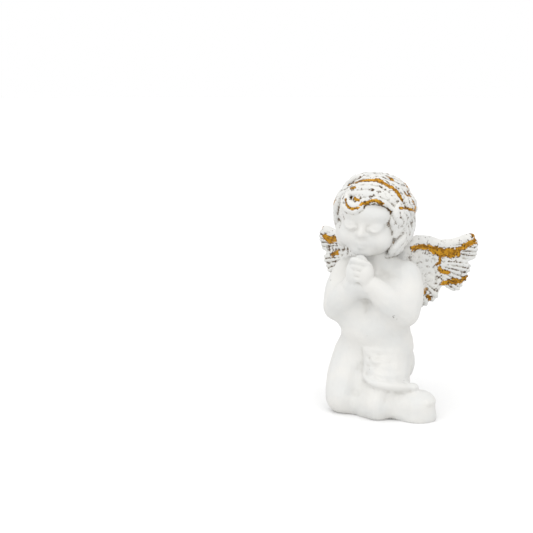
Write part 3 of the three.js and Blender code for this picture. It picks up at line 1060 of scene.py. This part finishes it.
    def lay_on(self, casting: bpy.types.Object, hair: BVHTree, wings: BVHTree) -> None:
        """Writes the painter's fields on the casting: gold, antique finish, hollows and pits.

        Args:
            casting: The casting, in millimetres.
            hair: The skin of the hair.
            wings: The skin of both wings.
        """
        places = corners(casting)
        on_hair, on_wings = (near(places, tree, close=0.15, far=0.6) for tree in (hair, wings))
        gold = np.maximum(self._hair_gold(places) * on_hair, self._wing_gold(places) * on_wings)
        front = 1 - eased(places[:, 1], *self.clean_depth)
        clean_hair = self.cleanness * front * (1 - eased(places[:, 2], *self.clean_height))
        clean_wings = np.zeros(len(places))
        for wing in self.wings:
            middle, reach = np.array(self.clean_spot.centre[::2]), np.array(self.clean_spot.radii[::2])
            apart = np.hypot(*((wing.laid_flat(places) - middle) / reach).T)
            clean_wings = np.maximum(clean_wings, self.cleanness * (1 - eased(apart, *self.clean_edge)))
        pitted = np.zeros(len(places))
        for pit in self.pits:
            apart = np.linalg.norm((places - np.array(pit.centre)) / np.array(pit.radii), axis=1)
            pitted = np.maximum(pitted, 1 - eased(apart, *self.pit_edge))
        fields = {
            "gilding": gold,
            "antique": np.maximum(on_hair * (1 - clean_hair), on_wings * (1 - clean_wings)),
            "hollow": hollows(casting),
            "pitted": pitted,
        }
        for name, values in fields.items():
            layer = casting.data.attributes.new(name, "FLOAT", "POINT")
            layer.data.foreach_set("value", values.astype(np.float32))


class Recipe:
    """The node tree of one finish."""

    def __init__(self, name: str) -> None:
        """Starts a material with its shader and its object coordinates."""
        self.material = bpy.data.materials.new(name)
        self.material.use_nodes = True
        self.tree = self.material.node_tree
        self.shader = self.tree.nodes["Principled BSDF"]
        self.place = self.tree.nodes.new("ShaderNodeTexCoord").outputs["Object"]

    def feed(self, socket: bpy.types.NodeSocket, value: object) -> None:
        """Links a socket to another one, or sets it to a constant.

        Args:
            socket: The input to feed.
            value: Another node's output, or a plain value.
        """
        if isinstance(value, bpy.types.NodeSocket):
            self.tree.links.new(value, socket)
        else:
            socket.default_value = value

    def field(self, name: str) -> bpy.types.NodeSocket:
        """Reads one of the painter's fields."""
        node = self.tree.nodes.new("ShaderNodeAttribute")
        node.attribute_name = name
        return node.outputs["Fac"]

    def noise(self, grain: float, detail: float = 2.0, shift: float = 0.0) -> bpy.types.NodeSocket:
        """Makes an uneven pattern.

        Args:
            grain: The size of its patches, in metres.
            detail: The number of finer layers.
            shift: A displacement that gives another pattern of the same kind.

        Returns:
            The pattern, about a half on average.
        """
        node = self.tree.nodes.new("ShaderNodeTexNoise")
        node.noise_dimensions = "4D"
        self.feed(node.inputs["Vector"], self.place)
        self.feed(node.inputs["W"], shift)
        self.feed(node.inputs["Scale"], 1 / grain)
        self.feed(node.inputs["Detail"], detail)
        return node.outputs["Fac"]

    def sum(self, *terms: tuple[bpy.types.NodeSocket, float]) -> bpy.types.NodeSocket:
        """Adds up patterns, each with its weight.

        Args:
            terms: Pairs of a pattern and its weight.

        Returns:
            The weighted sum.
        """
        total: object = 0.0
        for pattern, weight in terms:
            node = self.tree.nodes.new("ShaderNodeMath")
            node.operation = "MULTIPLY_ADD"
            for socket, value in zip(node.inputs, (pattern, weight, total)):
                self.feed(socket, value)
            total = node.outputs[0]
        return total

    def times(self, one: bpy.types.NodeSocket, other: bpy.types.NodeSocket) -> bpy.types.NodeSocket:
        """Multiplies two patterns."""
        node = self.tree.nodes.new("ShaderNodeMath")
        node.operation = "MULTIPLY"
        self.feed(node.inputs[0], one)
        self.feed(node.inputs[1], other)
        return node.outputs[0]

    def step(self, pattern: bpy.types.NodeSocket, low: float, high: float) -> bpy.types.NodeSocket:
        """Turns a pattern into a soft-edged mask.

        Args:
            pattern: The pattern.
            low: Where the mask starts.
            high: Where it is full.

        Returns:
            The mask, from nought to one.
        """
        node = self.tree.nodes.new("ShaderNodeMapRange")
        node.interpolation_type = "SMOOTHSTEP"
        self.feed(node.inputs["Value"], pattern)
        self.feed(node.inputs["From Min"], low)
        self.feed(node.inputs["From Max"], high)
        return node.outputs["Result"]

    def between(self, mask: bpy.types.NodeSocket, under: object, over: object) -> bpy.types.NodeSocket:
        """Lays one colour over another.

        Args:
            mask: How much of the upper colour shows.
            under: The lower colour.
            over: The upper colour.

        Returns:
            The mixed colour.
        """
        node = self.tree.nodes.new("ShaderNodeMix")
        node.data_type = "RGBA"
        for socket, value in zip((node.inputs[0], node.inputs[6], node.inputs[7]), (mask, under, over)):
            self.feed(socket, value)
        return node.outputs[2]

    def level(self, mask: bpy.types.NodeSocket, under: float, over: float) -> bpy.types.NodeSocket:
        """Moves a number between two levels by a mask."""
        node = self.tree.nodes.new("ShaderNodeMapRange")
        self.feed(node.inputs["Value"], mask)
        self.feed(node.inputs["To Min"], under)
        self.feed(node.inputs["To Max"], over)
        return node.outputs["Result"]

    def rough(self, height: bpy.types.NodeSocket, depth: float) -> None:
        """Raises the surface by a pattern.

        Args:
            height: The pattern.
            depth: Its full height, in metres.
        """
        node = self.tree.nodes.new("ShaderNodeBump")
        self.feed(node.inputs["Height"], height)
        self.feed(node.inputs["Distance"], depth)
        self.feed(self.shader.inputs["Normal"], node.outputs["Normal"])


@dataclass(frozen=True)
class AntiquePaint:
    """Matt white paint, brushed over gold that stays in the furrows, with dark flecks at its edge and
    painted shade in creases and furrows.
    """

    white: Colour = (0.665, 0.657, 0.631, 1)
    cool_white: Colour = (0.626, 0.628, 0.614, 1)
    # painted shade: the grey laid into creases and hollows all over the figure
    crease_shade: Colour = (0.50, 0.49, 0.46, 1)
    # painted shade: the darker grey laid into the furrows of the hair and wings
    furrow_shade: Colour = (0.40, 0.385, 0.345, 1)
    gold: Colour = (0.50, 0.245, 0.016, 1)
    deep_gold: Colour = (0.27, 0.115, 0.007, 1)
    umber: Colour = (0.07, 0.035, 0.01, 1)
    pit: Colour = (0.22, 0.21, 0.19, 1)
    paint_roughness: float = 0.72
    gold_roughness: float = 0.34
    gold_metal: float = 0.8
    blotch_grain: float = 0.006
    brush_grain: float = 0.0011
    fleck_grain: float = 0.00045
    dust_grain: float = 0.0003
    bump_grain: float = 0.0007
    bump_depth: float = 0.00006
    blotch_span: Span = (0.35, 0.7)
    # how hollow a place must be before the painted shade in creases starts, and where it is full
    crease_shade_span: Span = (0.53, 0.82)
    # how hollow a place must be before the painted shade in furrows starts, and where it is full
    furrow_shade_span: Span = (0.48, 0.68)
    rim_span: Span = (1.36, 1.46)
    rim_fleck_span: Span = (0.46, 0.56)
    gold_span: Span = (1.56, 1.64)
    mottle_span: Span = (0.38, 0.6)
    spot_span: Span = (0.55, 0.62)
    fleck_span: Span = (1.75, 1.83)
    dust_span: Span = (1.17, 1.23)
    pit_span: Span = (0.92, 0.97)

    def material(self) -> bpy.types.Material:
        """Mixes the finish.

        Returns:
            The material.
        """
        mix = Recipe("antique_white_and_gold")
        antique, hollow = mix.field("antique"), mix.field("hollow")
        gilding, pitted = mix.field("gilding"), mix.field("pitted")
        blotch, brush = mix.noise(self.blotch_grain), mix.noise(self.brush_grain, 3, 2.0)
        fleck, dust = mix.noise(self.fleck_grain, 2, 5.0), mix.noise(self.dust_grain, 1, 7.0)
        white = mix.between(mix.step(blotch, *self.blotch_span), self.white, self.cool_white)
        # painted shade: the white turns grey in creases and hollows everywhere on the figure
        white = mix.between(mix.step(hollow, *self.crease_shade_span), white, self.crease_shade)
        # painted shade: the white turns darker grey in the furrows of the hair and wings
        white = mix.between(mix.times(antique, mix.step(hollow, *self.furrow_shade_span)), white, self.furrow_shade)
        edge = mix.sum((gilding, 1.0), (brush, 1.1), (fleck, 0.6), (hollow, 0.8))
        rim = mix.times(antique, mix.step(edge, *self.rim_span))
        stray = mix.sum((hollow, 1.5), (fleck, 1.0), (brush, 0.6), (gilding, 0.35))
        flecks = mix.times(antique, mix.step(stray, *self.fleck_span))
        powder = mix.sum((dust, 1.0), (brush, 0.7), (hollow, 0.3))
        dusting = mix.times(antique, mix.step(powder, *self.dust_span))
        gold_mask = mix.times(antique, mix.step(edge, *self.gold_span))
        gold = mix.between(mix.step(brush, *self.mottle_span), self.deep_gold, self.gold)
        gold = mix.between(mix.step(fleck, *self.spot_span), gold, self.umber)
        holes = mix.step(mix.sum((fleck, 1.0), (pitted, 0.3)), *self.pit_span)
        colour = mix.between(dusting, white, self.umber)
        colour = mix.between(flecks, colour, self.umber)
        colour = mix.between(mix.times(rim, mix.step(fleck, *self.rim_fleck_span)), colour, self.umber)
        colour = mix.between(gold_mask, colour, gold)
        colour = mix.between(holes, colour, self.pit)
        mix.feed(mix.shader.inputs["Base Color"], colour)
        mix.feed(mix.shader.inputs["Metallic"], mix.level(gold_mask, 0.0, self.gold_metal))
        roughness = mix.level(gold_mask, self.paint_roughness, self.gold_roughness)
        mix.feed(mix.shader.inputs["Roughness"], roughness)
        grain = mix.noise(self.bump_grain, 3, 9.0)
        mix.rough(mix.sum((grain, 1.0), (brush, 0.6), (holes, -2.0)), self.bump_depth)
        return mix.material


@dataclass
class Figurine:
    """The whole casting."""

    unit: float
    trunk: Trunk = field(default_factory=Trunk)
    legs: Legs = field(default_factory=Legs)
    arms: Arms = field(default_factory=Arms)
    hands: Hands = field(default_factory=Hands)
    cloth: Loincloth = field(default_factory=Loincloth)
    head: Head = field(default_factory=Head)
    wings: list[Wing] = field(default_factory=lambda: [Wing(Side.RIGHT, sweep=29.5), Wing(Side.LEFT)])

    def __post_init__(self) -> None:
        """Puts the hair on the head."""
        self.hair = Hair(self.head)

    def _body(self) -> bpy.types.Object:
        """Models the child up to its neck.

        Returns:
            The body with its cloth.
        """
        clay = Clay("body")
        for part in (self.trunk, self.legs, self.arms):
            part.add_to(clay)
        bare = clay.pressed(BODY_GRAIN, fillet=1.6, polish=40)
        self.legs.part(bare)
        self.cloth.drape(bare)
        clay.add(*self.cloth.trimmings(), *self.legs.toes())
        body = clay.pressed(FINE_GRAIN, fillet=0.25, polish=2)
        weather(body, size=2.4, depth=0.16)
        return body

    def build(self) -> bpy.types.Object:
        """Models the casting and stands it on its flat underside.

        Returns:
            The finished mesh, in metres.
        """
        body = self._body()
        log.info("body and loincloth modelled")
        hands = self.hands.build()
        log.info("hands modelled")
        head = self.head.build()
        log.info("head modelled")
        hair = self.hair.build()
        log.info("hair modelled")
        wings = [wing.build() for wing in self.wings]
        log.info("wings modelled")
        skins = [BVHTree.FromPolygons(*mesh_data(*forms)) for forms in ((hair,), wings)]
        casting = Clay(NODE + "_casting").add(body, hands, head, hair, *wings).pressed(CAST_GRAIN, polish=1)
        self._flatten_underside(casting)
        count = sum(len(face.vertices) - 2 for face in casting.data.polygons)
        modify(casting, "DECIMATE", ratio=min(1.0, MOST_TRIANGLES / count))
        Gilding(self.hair, self.wings).lay_on(casting, *skins)
        casting.data.materials.append(AntiquePaint().material())
        casting.data.transform(Matrix.Scale(self.unit, 4))
        pick(casting)
        bpy.ops.object.shade_smooth()
        return casting

    def _flatten_underside(self, casting: bpy.types.Object) -> None:
        """Cuts the casting off level with the ground.

        Args:
            casting: The closed mesh.
        """
        pick(casting)
        bpy.ops.object.mode_set(mode="EDIT")
        bpy.ops.mesh.select_all(action="SELECT")
        bpy.ops.mesh.bisect(plane_co=(0, 0, 0), plane_no=(0, 0, 1), use_fill=True, clear_inner=True)
        bpy.ops.object.mode_set(mode="OBJECT")


@dataclass(frozen=True)
class Studio:
    """Pale floor, soft light and the viewpoint."""

    unit: float
    image: int = 533
    focal_pixels: float = 1164.0
    sensor: float = 36.0
    azimuth: float = 25.3
    pitch: float = 9.4
    foot_pixel: Angles = (374.0, 408.0)
    distance: float = 314.0
    floor_radius: float = 4.0
    floor_colour: Colour = (0.82, 0.82, 0.82, 1)
    floor_roughness: float = 0.9
    room_light: float = 1.0
    key_target: Point = (0.0, 0.0, 0.03)
    near_clip: float = 0.01
    key_place: Point = (0.04, -0.52, 0.95)
    key_softness: float = 80.0
    key_energy: float = 1.35

    def _floor(self) -> None:
        """Lays a wide pale floor."""
        bpy.ops.object.select_all(action="DESELECT")
        bpy.ops.mesh.primitive_circle_add(vertices=96, radius=self.floor_radius, fill_type="NGON")
        floor = bpy.context.object
        floor.name = "floor"
        material = bpy.data.materials.new("pale_floor")
        material.use_nodes = True
        shader = material.node_tree.nodes["Principled BSDF"]
        shader.inputs["Base Color"].default_value = self.floor_colour
        shader.inputs["Roughness"].default_value = self.floor_roughness
        floor.data.materials.append(material)
        floor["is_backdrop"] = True

    def _lights(self) -> None:
        """Hangs the soft lights."""
        world = bpy.data.worlds.new("white_room")
        bpy.context.scene.world = world
        world.use_nodes = True
        background = world.node_tree.nodes["Background"]
        background.inputs["Color"].default_value = (1, 1, 1, 1)
        background.inputs["Strength"].default_value = self.room_light
        bpy.ops.object.light_add(type="SUN", location=self.key_place)
        key = bpy.context.object
        key.data.angle = math.radians(self.key_softness)
        key.data.energy = self.key_energy
        key.rotation_euler = (Vector(self.key_target) - key.location).to_track_quat("-Z", "Y").to_euler()

    def _camera(self) -> None:
        """Sets the camera at the photograph's viewpoint."""
        turn, tilt = math.radians(self.azimuth), math.radians(self.pitch)
        ahead = Vector((-math.sin(turn) * math.cos(tilt), math.cos(turn) * math.cos(tilt), -math.sin(tilt)))
        right = Vector((math.cos(turn), math.sin(turn), 0))
        up = right.cross(ahead)
        centre = self.image / 2
        aside = (self.foot_pixel[0] - centre) / self.focal_pixels * self.distance
        above = (centre - self.foot_pixel[1]) / self.focal_pixels * self.distance
        place = -(right * aside + up * above + ahead * self.distance) * self.unit
        bpy.ops.object.camera_add()
        camera = bpy.context.object
        camera.data.sensor_width = self.sensor
        camera.data.lens = self.focal_pixels / self.image * self.sensor
        camera.data.clip_start = self.near_clip
        turned = Matrix((right, up, -ahead)).transposed().to_4x4()
        camera.matrix_world = Matrix.Translation(place) @ turned
        bpy.context.scene.camera = camera

    def build(self) -> None:
        """Sets up the floor, the lights and the camera."""
        self._floor()
        self._lights()
        self._camera()
        bpy.context.scene.view_settings.view_transform = "Standard"


def main() -> None:
    """Builds the figurine, dresses it and sets up the studio."""
    logging.basicConfig(level=logging.INFO, format="%(name)s: %(message)s")
    cad_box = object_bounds()
    low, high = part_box(NODE)
    unit = (high.z - low.z) / FIGURE_HEIGHT
    casting = Figurine(unit).build()
    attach(casting, "root")
    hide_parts(NODE)
    log.info("figurine built")
    Studio(unit).build()
    log.info("studio set up")
    boxes = {"cad": cad_box, "visual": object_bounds()}
    {name: [list(corner) for corner in box] for name, box in boxes.items()}


if __name__ == "__main__":
    main()
